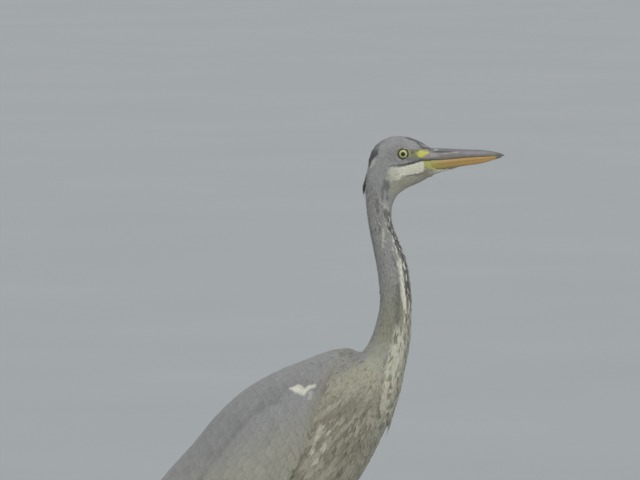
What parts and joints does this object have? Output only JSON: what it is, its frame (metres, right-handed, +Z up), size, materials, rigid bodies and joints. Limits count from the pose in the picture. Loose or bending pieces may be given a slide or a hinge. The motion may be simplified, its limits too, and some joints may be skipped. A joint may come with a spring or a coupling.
{
  "type": "grey heron",
  "caption": "Grey heron in its first year, life size, a still model standing on both feet with its neck stretched up and its dagger bill level.",
  "frame": {"origin": "on the floor, below the middle of the bird's length and width", "axes": "+X the way the bill points, +Y the bird's left side, +Z up"},
  "size_m": [0.5704, 0.2172, 0.8823],
  "materials": {
    "head_down": "short soft feathers, matt mid grey with a white cheek band",
    "neck_down": "fine hair-like feathers, matt grey with white and dark streaks down the front",
    "body_down": "soft lance-shaped feathers, matt brown-grey with pale streaks",
    "chin_down": "short bristly feathers, matt buff",
    "crest_feather": "slender feathers, dark slate with a slight sheen",
    "thigh_down": "short soft feathers, matt pale brown-grey",
    "wing_feather": "broad vaned feathers, grey with brownish edges, slate-black at the tips, faint sheen",
    "tail_feather": "broad vaned feathers, ash grey, faint sheen",
    "bill_upper": "horn, grey-brown above with a paler streak, satin",
    "bill_lower": "horn, dull orange-yellow, olive at the base, satin",
    "eye": "wet pale yellow iris and black pupil, glossy",
    "leg_scale": "scaled skin, brownish grey with a green-yellow tinge, satin",
    "claw_horn": "horn, dark brown, satin"
  },
  "bodies": {
    "root": {"head": "head_down", "neck_upper": "neck_down", "neck_middle": "neck_down", "neck_lower": "neck_down", "trunk": "body_down", "breast_plumes": "body_down", "chin": "chin_down", "crest": "crest_feather", "thigh_right": "thigh_down", "thigh_left": "thigh_down", "wing_right": "wing_feather", "wing_left": "wing_feather", "tail": "tail_feather", "bill_upper": "bill_upper", "bill_lower": "bill_lower", "eye_right": "eye", "eye_left": "eye", "shank_right": "leg_scale", "tarsus_right": "leg_scale", "foot_right": "leg_scale", "toe_right_inner": "leg_scale", "claw_right_inner": "claw_horn", "toe_right_middle": "leg_scale", "claw_right_middle": "claw_horn", "toe_right_outer": "leg_scale", "claw_right_outer": "claw_horn", "toe_right_hind": "leg_scale", "claw_right_hind": "claw_horn", "shank_left": "leg_scale", "tarsus_left": "leg_scale", "foot_left": "leg_scale", "toe_left_inner": "leg_scale", "claw_left_inner": "claw_horn", "toe_left_middle": "leg_scale", "claw_left_middle": "claw_horn", "toe_left_outer": "leg_scale", "claw_left_outer": "claw_horn", "toe_left_hind": "leg_scale", "claw_left_hind": "claw_horn"}
  },
  "joints": []
}
